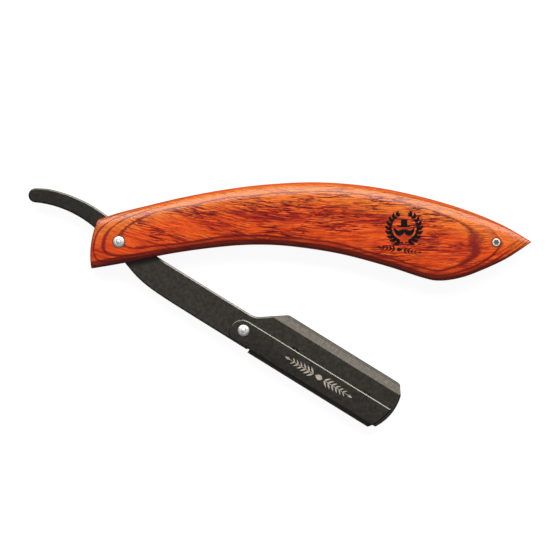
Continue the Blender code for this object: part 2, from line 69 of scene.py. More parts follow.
# Handle outline about the pivot, from the heel to the tip
TOP_EDGE = [
    (-7.2, 7.5), (0.0, 9.9), (9.8, 12.35), (22.2, 15.25), (36.4, 17.85), (50.6, 19.55),
    (66.9, 20.25), (83.3, 19.1), (99.6, 16.1), (115.9, 11.5), (129.5, 6.1), (140.2, 0.0),
]
BOTTOM_EDGE = [
    (-9.4, -9.0), (1.7, -7.1), (18.0, -3.85), (34.3, -1.65), (46.5, -0.9), (58.8, -1.5),
    (75.1, -4.0), (91.4, -8.3), (103.0, -12.05), (109.0, -13.2), (116.4, -12.1),
    (124.1, -9.25), (132.0, -5.45), (140.2, 0.0),
]
END_BULGE = 1.2
END_BULGE_REACH = 10.0
HANDLE_LENGTH = 150.0
GAP_HALF = 2.6
SCALE_WALL = 2.2
SCALE_RISE = 2.2
CROWN_TOP_WIDTH = 8.5
CROWN_BOTTOM_WIDTH = 8.0
HEEL_TAPER = 32.0
TIP_TAPER = 58.0
END_HEIGHT_REACH = 1.5
EDGE_ROUND = 0.3

# Ribs along a scale. Their places follow a cosine over a part of a half turn, so that they are
# closer at the ends. The last one stands just before the tip, and a few more round the heel's edge
RIBS = 130
RIB_TURN_START = 0.03
RIB_TURN = 0.955
LAST_RIB_SHARE = 0.9985
HEEL_ROUND_RIBS = 4

# Across a rib: points over each crown, the widest part of the rib that a crown may take, and the
# rounded inner corners. Edges that bend by more than the sharp angle, in degrees, are shaded sharp
CROWN_STEPS = 18
WIDEST_CROWN = 0.47
INNER_ROUND = 0.25
INNER_ROUND_MIDDLE = 0.07
SHARP_ANGLE = 35.0

# Fastener sizes. Seats, tops and ends are heights above the middle plane. The collar's foot is
# rounded by points given as their distance in from its rim and up from its seat
PIN_RADIUS = 0.8
COLLAR_RADIUS = 2.05
COLLAR_HOLE = 0.88
COLLAR_HEIGHT = 0.72
COLLAR_RIM_SHARE = 0.3
COLLAR_FOOT = ((0.1, 0.0), (0.02, 0.06))
PEEN_HEIGHT = 0.16
PEEN_FLAT = 0.1
SEAT_CLEARANCE = 0.15
PIVOT_SEAT = 6.05
PIVOT_PIN_HALF = 6.81
NECK_PIN_HALF = 2.98
NECK_SEAT = 2.22
SEAT_GAP = 0.04
TIP_HEAD_RADIUS = 1.42
TIP_HEAD_SEAT = 5.45
TIP_HEAD_TOP = 6.2
TIP_HEAD_ROUND = 0.18
TIP_HEAD_CLEARANCE = 0.1
TIP_SHANK_RADIUS = 0.65
TIP_SHANK_END = -4.6
TIP_BARREL_RADIUS = 1.05
TIP_BARREL_END = 5.25
TIP_BARREL_CHAMFER = 0.05
TIP_BORE_RADIUS = 0.75
TIP_BORE_END = -4.8
TIP_NUT_HOLE = 0.3
SOCKET_RADIUS = 0.85
SOCKET_LOBE = 0.11
SOCKET_DEPTH = 0.5
# How far below the screw's top its socket is in painted shade
SOCKET_SHADE_DEPTH = 0.15
CUT_FROM = 0.5
CUT_TO = 9.0

# Laminate: the first glue line's height above the middle plane, and the layers' thickness
FIRST_GLUE_LINE = 6.5
LAYER_THICKNESS = 0.42

# Grain: where its sweep at the heel ends and how strong it is, and its shift from layer to layer
SWEEP_END = 25.0
SWEEP_RATE = 0.0019
LAYER_SHIFT = 137.0

# The heart of the wood: the crest of its bow, how strongly it bows, and the middle of its dark part
HEART_CREST = (3.0, 31.0)
HEART_BOW = 0.0029
HEART_MIDDLE = 13.0

# Lower edge from the belly to the tip: its lowest point about the pivot, how it rises from there,
# and the heights of the close lines above it
BELLY = (109.0, -13.2)
BELLY_RISE = 0.0136
BELLY_LINES = (1.3, 2.5, 4.1)

# Lower edge at the heel: its height at the pivot, its slope, and the dark band's height above it
HEEL_EDGE = -7.3
HEEL_SLOPE = 0.18
HEEL_BAND = 2.1

# Prints: centres in the model's frame, and the etching's in the arm's directions about the pivot.
# All marks stand off their surface by the same small height
EMBLEM_AT = (42.2, 26.0)
EMBLEM_RADIUS = 5.0
SIGNATURE_AT = (40.6, 18.7)
SIGNATURE_TILT = math.radians(-8)
ETCHING_AT = (81.9, -3.5)
PRINT_HEIGHT = 0.02

# Welding and smoothing of carried-over CAD pieces: a distance in metres and an angle in degrees
WELD_DISTANCE = 0.001 * MM
SMOOTH_BELOW = 16.5

# Stage, in metres, and where the camera looks, in millimetres
FLOOR_HALF = 4.0
FLOOR_DROP = 0.02 * MM
VIEW_WIDTH = 0.1904
CAMERA_DISTANCE = 1.5
CAMERA_AIM = (0.1, 8.39, 10.0)

# The floor glows, more when looked at than as a light. The surroundings' light rises towards +Y
FLOOR_GREY = 0.15
FLOOR_GLOW = 0.12
FLOOR_GLOW_SEEN = 0.93
SURROUNDINGS = {"From Min": -0.25, "From Max": 0.6, "To Min": 0.24, "To Max": 0.55}


# Mesh helpers


def add_piece(name, mesh, body, material):
    """Turns a bmesh in millimetres into a smooth-shaded piece that rides on a body."""
    bmesh.ops.scale(mesh, vec=(MM, MM, MM), verts=mesh.verts)
    data = bpy.data.meshes.new(name)
    mesh.to_mesh(data)
    mesh.free()
    data.shade_smooth()
    data.set_sharp_from_angle(angle=math.radians(SHARP_ANGLE))
    data.materials.append(material)
    made = bpy.data.objects.new(name, data)
    bpy.context.scene.collection.objects.link(made)
    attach(made, body)
    return made


def join_loops(mesh, loops, closed=False):
    """Quads between rings of the same number of vertices."""
    following = loops[1:] + loops[:1] if closed else loops[1:]
    for lower, upper in zip(loops, following):
        for i in range(len(lower)):
            j = (i + 1) % len(lower)
            mesh.faces.new((lower[i], lower[j], upper[j], upper[i]))


def lathed_mesh(profile, centre, side=1, segments=72, ring=False):
    """A mesh spun about Z from points of radius and height above the middle plane.

    The points go up the outer side, and flat ends close the mesh. A ring has a bore in place of
    the ends: its last point is joined to its first.
    """
    if side < 0:
        profile = [(radius, -height) for radius, height in reversed(profile)]
    mesh = bmesh.new()
    loops = []
    for radius, height in profile:
        loop = []
        for i in range(segments):
            angle = 2 * math.pi * i / segments
            x = centre[0] + radius * math.cos(angle)
            loop.append(mesh.verts.new((x, centre[1] + radius * math.sin(angle), MIDDLE + height)))
        loops.append(loop)
    join_loops(mesh, loops, closed=ring)
    if not ring:
        mesh.faces.new(reversed(loops[0]))
        mesh.faces.new(loops[-1])
    return mesh


def quarter_round(centre, radius, steps=6):
    """Points of a quarter circle from its outer side to its top."""
    angles = [math.radians(90 * i / steps) for i in range(steps + 1)]
    return [(centre[0] + radius * math.cos(a), centre[1] + radius * math.sin(a)) for a in angles]


def spline(points, share):
    """A point of the smooth curve through all the points, at a share of the way from 0 to 1."""
    chords = [math.dist(a, b) for a, b in zip(points, points[1:])]
    left = share * sum(chords)
    index = 0
    while index < len(chords) - 1 and left > chords[index]:
        left -= chords[index]
        index += 1
    t = min(left / chords[index], 1.0)
    before = points[max(index - 1, 0)]
    start, end = points[index], points[index + 1]
    after = points[min(index + 2, len(points) - 1)]
    curved = []
    for a, b, c, d in zip(before, start, end, after):
        curved.append(0.5 * (2 * b + (c - a) * t + (2 * a - 5 * b + 4 * c - d) * t**2
                             + (3 * b - a - 3 * c + d) * t**3))
    return tuple(curved)


def cut_and_apply(target, tools):
    """Applies exact Boolean cuts to a new piece and removes the tools."""
    for tool in tools:
        step = target.modifiers.new("cut", "BOOLEAN")
        step.operation = "DIFFERENCE"
        step.solver = "EXACT"
        step.object = tool
    graph = bpy.context.evaluated_depsgraph_get()
    cut = bpy.data.meshes.new_from_object(target.evaluated_get(graph))
    target.modifiers.clear()
    target.data = cut
    for tool in tools:
        bpy.data.objects.remove(tool)


def cutter(mesh):
    """A cutter from a bmesh in millimetres. It is removed once it has cut."""
    bmesh.ops.scale(mesh, vec=(MM, MM, MM), verts=mesh.verts)
    data = bpy.data.meshes.new("cutter")
    mesh.to_mesh(data)
    mesh.free()
    made = bpy.data.objects.new("cutter", data)
    bpy.context.scene.collection.objects.link(made)
    return made


# Materials


class Finish:
    """One material's nodes. Positions are the piece's own, in millimetres."""

    def __init__(self, name, **shader_values):
        self.material = bpy.data.materials.new(name)
        self.material.use_nodes = True
        self.tree = self.material.node_tree
        self.shader = self.tree.nodes["Principled BSDF"]
        for socket, value in shader_values.items():
            self.shader.inputs[socket.replace("_", " ")].default_value = value
        here = self.add("ShaderNodeTexCoord").outputs
        scaled = self.add("ShaderNodeVectorMath", {0: here["Object"], "Scale": 1 / MM}, operation="SCALE")
        self.place = scaled.outputs[0]
        self.facing = here["Normal"]

    def add(self, kind, inputs=None, **settings):
        """A node with its settings, and its inputs as numbers or as another node's outputs."""
        node = self.tree.nodes.new(kind)
        for name, value in settings.items():
            setattr(node, name, value)
        for socket, value in (inputs or {}).items():
            self.feed(node.inputs[socket], value)
        return node

    def feed(self, socket, value):
        """Links an output to a socket, or sets the socket's number."""
        if isinstance(value, bpy.types.NodeSocket):
            self.tree.links.new(value, socket)
        else:
            socket.default_value = value

    def calc(self, operation, *values):
        """A Math node."""
        return self.add("ShaderNodeMath", dict(enumerate(values)), operation=operation).outputs[0]

    def split(self, vector):
        """The three parts of a vector."""
        return self.add("ShaderNodeSeparateXYZ", {0: vector}).outputs

    def vector(self, x, y, z):
        """A vector from three numbers."""
        return self.add("ShaderNodeCombineXYZ", {0: x, 1: y, 2: z}).outputs[0]

    def noise(self, place, scale, detail=3.0, roughness=0.5):
        """Noise from 0 to 1, whose average is a half."""
        return self.add("ShaderNodeTexNoise", {
            "Vector": place, "Scale": scale, "Detail": detail, "Roughness": roughness,
        }).outputs["Fac"]

    def step(self, value, low, high, to_low=0.0, to_high=1.0):
        """A smooth step from to_low to to_high as the value goes from low to high."""
        return self.add("ShaderNodeMapRange", {
            "Value": value, "From Min": low, "From Max": high, "To Min": to_low, "To Max": to_high,
        }, interpolation_type="SMOOTHSTEP").outputs["Result"]

    def near(self, value, centre, outer, inner, peak=1.0):
        """The peak where the value is within inner of the centre, fading to 0 at outer."""
        off = self.calc("ABSOLUTE", self.calc("SUBTRACT", value, centre))
        return self.step(off, outer, inner, 0.0, peak)

    def mix(self, share, first, second):
        """A colour between two colours."""
        node = self.add("ShaderNodeMix", data_type="RGBA")
        for socket, value in ((0, share), (6, first), (7, second)):
            self.feed(node.inputs[socket], value)
        return node.outputs[2]

    def tint(self, base, tone, *shares):
        """The base colour, mixed towards a tone by the product of the shares."""
        share = shares[0]
        for other in shares[1:]:
            share = self.calc("MULTIPLY", share, other)
        return self.mix(share, base, tone)

    def bump(self, height, depth_mm):
        """Feeds the shader's normal from a height of 0 to 1 that stands for a depth."""
        node = self.add("ShaderNodeBump", {"Height": height, "Distance": depth_mm * MM, "Strength": 1.0})
        self.feed(self.shader.inputs["Normal"], node.outputs[0])


def colour(red, green, blue):
    """A linear colour with full alpha."""
    return (red, green, blue, 1.0)


# Honey wood, on the upper side, is partly painted highlight glow
HONEY_GLOW_WOOD = colour(0.84, 0.285, 0.035)
PALE_WOOD = colour(0.9, 0.185, 0.023)
ORANGE_WOOD = colour(0.8, 0.086, 0.009)
RIM_SHADE_WOOD = colour(0.55, 0.055, 0.007)
# The rim's tone is painted shade
RED_WOOD = colour(0.4, 0.02, 0.006)
STROKE_RED = colour(0.22, 0.009, 0.006)
VEIN_WOOD = colour(0.1, 0.005, 0.007)
GLUE_RED = colour(0.13, 0.005, 0.009)
SHADED_WOOD = colour(0.06, 0.006, 0.005)

DARK_STEEL = (colour(0.059, 0.054, 0.045), colour(0.076, 0.069, 0.06))
STEEL_SPECK = colour(0.1, 0.092, 0.08)
TAIL_SHADE_STEEL = colour(0.026, 0.025, 0.021)
# The tail's tone is painted shade
GROUND_STEEL = (colour(0.034, 0.03, 0.025), colour(0.048, 0.042, 0.035))
GROUND_EDGE = colour(0.012, 0.01, 0.008)
# The corners' tone is a painted highlight
CORNER_GLINT_STEEL = colour(0.26, 0.24, 0.2)
BRIGHT_STEEL = (colour(0.55, 0.54, 0.52), colour(0.74, 0.73, 0.7))
# The socket's tone is painted shade
SOCKET_SHADE_STEEL = colour(0.13, 0.12, 0.115)
BRASS = (colour(0.5, 0.33, 0.12), colour(0.72, 0.52, 0.22))
BLACK_PRINT = (colour(0.004, 0.003, 0.003), colour(0.01, 0.008, 0.007))
ETCHED_MARK = (colour(0.3, 0.26, 0.21), colour(0.5, 0.45, 0.38))


class LacqueredWood(Finish):
    """Red laminated wood: layers parallel to the scales' faces, fine streaks, and a clear gloss."""

    def __init__(self):
        super().__init__("lacquered_laminate", Specular_IOR_Level=0.04, Coat_Weight=0.42, Coat_Roughness=0.13)
        self.x, self.y, self.z = self.split(self.place)
        self.endward, self.steep, self.front = self.split(self.facing)

        # How strongly a surface takes the edges' tones, lines and painted shade: less where it is the
        # handle's side
        self.crowned = self.step(self.calc("ABSOLUTE", self.front), 0.1, 0.4, 0.2, 0.8)
        self.set_layers()
        self.set_grain()
        self.set_regions()
        pores = self.streaks(0.06, 2.7, 2.0, 0.55, shift=23.0)
        base = self.streak_colours(pores)
        base = self.crown_colours(base)
        base = self.heel_and_screw_colours(base)
        self.feed(self.shader.inputs["Base Color"], base)
        self.feed(self.shader.inputs["Roughness"], self.step(pores, 0.4, 0.7, 0.36, 0.55))
        ripple = self.vector(self.calc("MULTIPLY", self.x, 0.2), self.y, self.z)
        self.bump(self.noise(ripple, 0.8, detail=4.0), 0.02)

    def set_layers(self):
        """Which layer shows, counted from the face, and where a glue line between two layers does."""
        swell = self.noise(self.vector(self.x, self.y, 0.0), 0.06, detail=1.0)
        swell = self.calc("SUBTRACT", swell, 0.5)
        stretched = self.vector(self.calc("MULTIPLY", self.x, 0.2), self.y, 0.0)
        fray = self.noise(stretched, 2.2, detail=4.0, roughness=0.75)
        self.fray = self.calc("SUBTRACT", fray, 0.5)

        # The glue lines fray most where the face is high and nearly level
        height = self.calc("ABSOLUTE", self.calc("SUBTRACT", self.z, MIDDLE))
        raw = self.step(self.calc("ABSOLUTE", self.steep), 0.15, 0.04, 0.0, 0.26)
        raw = self.calc("ADD", self.calc("MULTIPLY", raw, self.step(height, 6.1, 6.3)), 0.06)
        uneven = self.calc("ADD", self.calc("MULTIPLY", swell, 0.42), self.calc("MULTIPLY", self.fray, raw))
        level = self.calc("ADD", height, uneven)
        count = self.calc("DIVIDE", self.calc("SUBTRACT", FIRST_GLUE_LINE, level), LAYER_THICKNESS)

        # The face layer has no glue line above it
        self.count = self.calc("MAXIMUM", count, -0.49)
        self.layer = self.calc("ADD", self.calc("FLOOR", self.count), 1.0)
        self.inner = self.calc("MINIMUM", self.layer, 1.0)
        off_line = self.calc("SUBTRACT", self.count, self.calc("ROUND", self.count))
        spread = self.step(self.noise(self.place, 0.16, detail=2.0), 0.3, 0.7, 0.12, 0.28)
        spread = self.calc("ADD", spread, self.step(self.steep, -0.08, -0.3, 0.0, 0.13))
        outside = self.step(self.calc("DIVIDE", self.calc("ABSOLUTE", off_line), spread), 0.2, 1.0)
        self.glue = self.calc("SUBTRACT", 1.0, outside)

    def set_grain(self):
        """Places along and across the grain. It follows the handle and sweeps down from the heel."""
        sweep = self.calc("POWER", self.calc("MINIMUM", self.calc("SUBTRACT", self.x, SWEEP_END), 0.0), 2.0)
        self.along = self.calc("ADD", self.x, self.calc("MULTIPLY", self.layer, LAYER_SHIFT))
        across = self.calc("SUBTRACT", self.y, self.calc("MULTIPLY", sweep, SWEEP_RATE))
        wave = self.noise(self.vector(self.along, across, self.layer), 0.11, detail=1.5)
        wave = self.calc("SUBTRACT", wave, 0.5)
        wave = self.calc("MULTIPLY", wave, self.step(self.x, -30.0, 20.0, 2.4, 1.3))
        self.across = self.calc("ADD", across, wave)

    def streaks(self, stretch, scale, detail, roughness, shift=0.0):
        """Noise drawn out along the grain. The shift makes one set of streaks unlike another."""
        along = self.calc("MULTIPLY", self.along, stretch)
        place = self.vector(along, self.across, self.calc("ADD", self.layer, shift))
        return self.noise(place, scale, detail, roughness)

    def set_regions(self):
        """The darker heart along the middle of the handle, the paler upper side, partly painted highlight
        glow, and faded glue lines.
        """
        bow = self.calc("POWER", self.calc("SUBTRACT", self.x, HEART_CREST[0]), 2.0)
        bow = self.calc("SUBTRACT", HEART_CREST[1], self.calc("MULTIPLY", bow, HEART_BOW))
        self.aside = self.calc("SUBTRACT", self.y, bow)
        heart = self.near(self.aside, 0.8, 6.0, 0.5)
        self.heart = self.calc("MULTIPLY", heart, self.near(self.x, HEART_MIDDLE, 42.0, 21.0))
        # The upper side is paler: partly the wood's tone, partly painted highlight glow
        high = self.step(self.aside, 0.0, 8.0)
        self.upper = self.calc("MULTIPLY", high, self.step(self.x, 78.0, 56.0, 0.6, 1.0))
        self.pale = self.calc("MULTIPLY", self.upper, 0.12)

        # Glue lines below the first one fade on the upper side, away from the heel
        fade = self.calc("MULTIPLY", high, self.inner)
        fade = self.calc("MULTIPLY", self.step(self.x, -48.0, -30.0), fade)
        towards_tip = self.step(self.x, 30.0, 55.0, 0.85, 0.5)
        faintest = self.calc("MAXIMUM", towards_tip, self.step(self.count, 1.3, 1.6, 0.0, 0.85))
        fade = self.calc("MULTIPLY", fade, self.step(self.count, 0.2, 0.8, 0.45, faintest))
        self.glue = self.calc("MULTIPLY", self.glue, self.calc("SUBTRACT", 1.0, fade))

    def streak_colours(self, pores):
        """The wood's tone, with its broad figure, fibres, dark threads, pores and glue lines on top."""
        tone = self.streaks(0.2, 0.2, 3.0, 0.6)
        tone = self.calc("ADD", tone, self.calc("MULTIPLY", self.heart, -0.17))
        tone = self.calc("ADD", tone, self.pale)
        figure = self.streaks(0.08, 1.5, 3.0, 0.6, shift=11.0)
        figure = self.calc("ADD", figure, self.calc("MULTIPLY", self.pale, 0.5))
        fibre = self.streaks(0.07, 5.0, 2.0, 0.65, shift=31.0)
        cluster = self.step(self.streaks(0.35, 0.16, 2.0, 0.5, shift=41.0), 0.4, 0.6, 0.35, 1.0)
        cluster = self.calc("MAXIMUM", cluster, self.heart)
        bold = self.calc("MULTIPLY", cluster, self.step(self.inner, 0.0, 1.0, 1.0, 0.5))

        # The face layer and the ones under it take the red and the pale tone differently
        reddening = self.step(self.inner, 0.0, 1.0, 0.12, 0.5)
        paling = self.step(self.inner, 0.0, 1.0, 0.8, 0.5)
        base = self.mix(self.step(tone, 0.22, 0.46), RED_WOOD, ORANGE_WOOD)
        # The upper side takes a honey tone: partly the wood's tone, partly painted highlight glow
        base = self.tint(base, HONEY_GLOW_WOOD, self.upper, 0.75)
        # The lower side is redder: partly the wood's tone, partly painted shade
        lower = self.calc("MULTIPLY", self.step(self.aside, 0.0, -8.0), reddening)
        heel = self.step(self.x, -50.0, -60.0, 0.0, 0.3)
        base = self.tint(base, RED_WOOD, self.calc("MAXIMUM", lower, heel))
        base = self.tint(base, PALE_WOOD, self.step(figure, 0.5, 0.68), paling)
        base = self.tint(base, RED_WOOD, self.step(fibre, 0.46, 0.64), 0.45)
        base = self.tint(base, STROKE_RED, self.step(figure, 0.45, 0.39), bold)
        for scale, shift in ((1.1, 53.0), (1.9, 67.0)):
            thread = self.near(self.streaks(0.06, scale, 1.5, 0.5, shift), 0.5, 0.034, 0.012)
            base = self.tint(base, STROKE_RED, thread, bold)
        base = self.tint(base, VEIN_WOOD, self.step(pores, 0.53, 0.57), bold)
        return self.tint(base, GLUE_RED, self.glue, 0.85)

    def crown_colours(self, base):
        """The tones and thin lines that follow the handle's edges, with painted shade on the top rim, the
        lower edge and the heel's end.
        """
        # Painted shade: the steep top rim, which misses the light's reflection, is darker
        base = self.tint(base, RIM_SHADE_WOOD, self.step(self.steep, 0.38, 0.65), self.crowned)
        towards_tip = self.step(self.x, 20.0, 45.0, 0.0, 0.7)
        base = self.tint(base, STROKE_RED, self.near(self.steep, 0.42, 0.09, 0.03), towards_tip, self.crowned)

        # Close lines follow the lower edge from the belly to the tip
        belly = self.calc("POWER", self.calc("SUBTRACT", self.x, PIVOT.x + BELLY[0]), 2.0)
        edge = self.calc("ADD", self.calc("MULTIPLY", belly, BELLY_RISE), PIVOT.y + BELLY[1])
        above = self.calc("ADD", self.calc("SUBTRACT", self.y, edge), self.calc("MULTIPLY", self.fray, 1.2))
        belly_x = PIVOT.x + BELLY[0]
        past_belly = self.step(self.x, belly_x - 3.0, belly_x + 7.0, 0.0, 0.9)
        for line_height in BELLY_LINES:
            line = self.near(above, line_height, 0.32, 0.12)
            base = self.tint(base, STROKE_RED, line, past_belly, self.crowned)

        # Painted shade: faces along the lower edge that turn down, away from the light, and the heel's end
        # edge are darkened
        base = self.tint(base, SHADED_WOOD, self.step(self.steep, -0.2, -0.4), self.crowned)
        return self.tint(base, SHADED_WOOD, self.step(self.endward, -0.1, -0.4), self.crowned)

    def heel_and_screw_colours(self, base):
        """Painted shade: the flatter heel's dark lower band, by the distance from the edge, and a painted
        shadow ring at the screw.
        """
        slope = self.calc("MULTIPLY", self.calc("SUBTRACT", self.x, PIVOT.x), HEEL_SLOPE)
        above = self.calc("SUBTRACT", self.calc("SUBTRACT", self.y, PIVOT.y + HEEL_EDGE), slope)
        at_heel = self.step(self.x, PIVOT.x + 12.0, PIVOT.x, 0.0, 0.75)
        at_heel = self.calc("MULTIPLY", at_heel, self.step(self.calc("ABSOLUTE", self.front), 0.2, 0.6))
        # Painted shade: a dark band along the heel's lower edge. A dark line runs along its top
        band = self.step(above, HEEL_BAND + 0.2, HEEL_BAND - 0.3)
        base = self.tint(base, SHADED_WOOD, at_heel, band)
        base = self.tint(base, SHADED_WOOD, at_heel, self.near(above, HEEL_BAND, 0.3, 0.1))
        # A painted shadow ring in the wood around the screw's seat
        centre = (TIP_SCREW.x, TIP_SCREW.y, 0.0)
        from_screw = self.add("ShaderNodeVectorMath", {0: self.vector(self.x, self.y, 0.0), 1: centre},
                              operation="DISTANCE").outputs["Value"]
        return self.tint(base, STROKE_RED, self.step(from_screw, 2.0, 1.55, 0.0, 0.75))


def gunmetal():
    """Blackened blasted steel with a fine mottle, a browner ground bevel, a tail in painted shade, and
    painted highlights on its upper corners.
    """
    metal = Finish("blackened_steel", Metallic=1.0)
    mottle = metal.noise(metal.place, 0.9, detail=5.0, roughness=0.65)
    speck = metal.noise(metal.place, 4.5, detail=2.0)
    tone = metal.mix(metal.step(mottle, 0.3, 0.7), *DARK_STEEL)
    tone = metal.tint(tone, STEEL_SPECK, metal.step(speck, 0.52, 0.72), 0.45)

    # Places along and across the arm, and the same from the pivot: the tail is behind it
    x, y, _ = metal.split(metal.place)
    turn_x, turn_y = math.cos(ARM_ANGLE), math.sin(ARM_ANGLE)
    along = metal.calc("ADD", metal.calc("MULTIPLY", x, turn_x), metal.calc("MULTIPLY", y, turn_y))
    across = metal.calc("SUBTRACT", metal.calc("MULTIPLY", y, turn_x), metal.calc("MULTIPLY", x, turn_y))
    reach = metal.calc("SUBTRACT", along, PIVOT.x * turn_x + PIVOT.y * turn_y)
    rise = metal.calc("SUBTRACT", across, PIVOT.y * turn_x - PIVOT.x * turn_y)
    # The tail, behind the pivot, is darkened: painted shade
    tone = metal.mix(metal.step(reach, 2.0, -16.0, 0.0, 0.6), tone, TAIL_SHADE_STEEL)

    # The jaw's bevel tilts by less than the rounded corners do. It has a dark line and edge
    facing = metal.split(metal.facing)
    flat = metal.calc("ABSOLUTE", facing["Z"])
    bevel = metal.calc("MULTIPLY", metal.step(flat, 0.975, 0.96), metal.step(flat, 0.934, 0.94))
    grind = metal.noise(metal.vector(along, metal.calc("MULTIPLY", across, 0.12), 0.0), 4.0, detail=3.0)
    ground = metal.mix(metal.step(grind, 0.35, 0.65), *GROUND_STEEL)
    line = metal.calc("MAXIMUM", metal.near(rise, 8.4, 0.14, 0.06), metal.step(rise, 8.75, 8.9))
    tone = metal.mix(bevel, tone, metal.tint(ground, GROUND_EDGE, line, 0.75))

    # Corners that face the arm's upper side, towards the light, get a painted highlight, uneven with the
    # mottle
    upward = metal.calc("SUBTRACT", metal.calc("MULTIPLY", facing["Y"], turn_x),
                        metal.calc("MULTIPLY", facing["X"], turn_y))
    corner = metal.calc("MULTIPLY", metal.step(flat, 0.936, 0.93), metal.step(flat, 0.2, 0.4))
    glint_strength = metal.step(mottle, 0.3, 0.55, 0.45, 1.0)
    tone = metal.tint(tone, CORNER_GLINT_STEEL, corner, metal.step(upward, 0.3, 0.5), glint_strength)
    metal.feed(metal.shader.inputs["Base Color"], tone)
    metal.feed(metal.shader.inputs["Roughness"], metal.step(mottle, 0.25, 0.75, 0.3, 0.38))
    metal.bump(speck, 0.006)
    return metal.material


def bright_steel(name="bright_steel", socket_shade_below=None):
    """Satin steel with fine scratches. Below the given height, in a screw's socket, it is darkened as painted
    shade.
    """
    metal = Finish(name, Metallic=1.0)
    scratch = metal.noise(metal.place, 3.5, detail=5.0, roughness=0.7)
    tone = metal.mix(metal.step(scratch, 0.3, 0.7), *BRIGHT_STEEL)
    if socket_shade_below:
        # Painted shade in the screw's socket
        unshaded = metal.step(metal.split(metal.place)["Z"], socket_shade_below - 0.1, socket_shade_below)
        tone = metal.mix(unshaded, SOCKET_SHADE_STEEL, tone)
    metal.feed(metal.shader.inputs["Base Color"], tone)
    metal.feed(metal.shader.inputs["Roughness"], metal.step(scratch, 0.3, 0.7, 0.4, 0.52))
    metal.bump(scratch, 0.015)
    return metal.material


def brass():
    """Dull yellow brass of the thrust washers."""
    metal = Finish("turned_brass", Metallic=1.0)
    wear = metal.noise(metal.place, 2.0, detail=4.0)
    tone = metal.mix(metal.step(wear, 0.3, 0.7), *BRASS)
    metal.feed(metal.shader.inputs["Base Color"], tone)
    metal.feed(metal.shader.inputs["Roughness"], metal.step(wear, 0.3, 0.7, 0.28, 0.45))
    return metal.material


def ink(name, tones, roughness):
    """A printed or etched mark with a slightly uneven tone."""
    mark = Finish(name, Specular_IOR_Level=0.05)
    grain = mark.noise(mark.place, 3.0, detail=4.0, roughness=0.7)
    mark.feed(mark.shader.inputs["Base Color"], mark.mix(mark.step(grain, 0.35, 0.65), *tones))
    mark.feed(mark.shader.inputs["Roughness"], mark.step(grain, 0.3, 0.7, roughness, roughness + 0.15))
    return mark.material


# Handle


def crown(distance, width):
    """A quarter ellipse from 0 at the edge to 1 at the given width and beyond."""
    return math.sqrt(1 - (1 - min(max(distance, 0.0) / width, 1.0)) ** 2)


def scale_height(share, rise):
    """Height of the scale's outer face above the middle plane, for a rise of 0 to 1 across the rib."""
    along = share * HANDLE_LENGTH
    heel = crown(along + END_HEIGHT_REACH, HEEL_TAPER)
    tip = crown(HANDLE_LENGTH - along + END_HEIGHT_REACH, TIP_TAPER)
    end = EDGE_ROUND * (1 - crown(along, EDGE_ROUND))
    return GAP_HALF + SCALE_WALL + SCALE_RISE * rise * heel * tip - end


def rib_profile(share, side):
    """The closed section of a scale at one share of its length, as points in the model's frame."""
    bottom, top = spline(BOTTOM_EDGE, share), spline(TOP_EDGE, share)
    width = math.dist(bottom, top)
    lower = min(CROWN_BOTTOM_WIDTH, WIDEST_CROWN * width) / width
    upper = min(CROWN_TOP_WIDTH, WIDEST_CROWN * width) / width
    rounded = [1 - math.cos(math.pi / 2 * i / CROWN_STEPS) for i in range(CROWN_STEPS + 1)]
    shares = [lower * r for r in rounded]
    middle = [lower + (1 - lower - upper) * i / 6 for i in range(1, 6)]
    shares += middle + [1 - upper * r for r in reversed(rounded)]
    corner = min(EDGE_ROUND / width, 0.2)
    low, high = GAP_HALF, GAP_HALF + SCALE_WALL
    section = []
    for s in shares:
        rise = min(crown(s * width, CROWN_BOTTOM_WIDTH), crown((1 - s) * width, CROWN_TOP_WIDTH))
        section.append((s, scale_height(share, rise)))
    wall_middle = (low + high) / 2
    bottom_corner = [
        (corner, low), (0.3 * corner, low + INNER_ROUND_MIDDLE), (0.0, low + INNER_ROUND), (0.0, wall_middle),
    ]
    top_corner = [(1 - s, height) for s, height in reversed(bottom_corner)]
    inner = top_corner + [(0.5, low)] + bottom_corner
    along = share * HANDLE_LENGTH
    bulge = END_BULGE * max(0.0, 1 - along / END_BULGE_REACH) ** 2
    points = []
    for s, height in section + inner:
        x = bottom[0] + (top[0] - bottom[0]) * s - bulge * 4 * s * (1 - s)
        y = bottom[1] + (top[1] - bottom[1]) * s
        points.append((PIVOT.x + x, PIVOT.y + y, MIDDLE + side * height))
    return points


def seat_tools(centre, hole, seat_radius, seat, side):
    """Cutters for a hole through the scale and for the flat seat of its collar or head."""
    through = lathed_mesh([(hole, CUT_FROM), (hole, CUT_TO)], centre, side)
    pocket = lathed_mesh([(seat_radius, seat), (seat_radius, CUT_TO)], centre, side)
    return [cutter(through), cutter(pocket)]


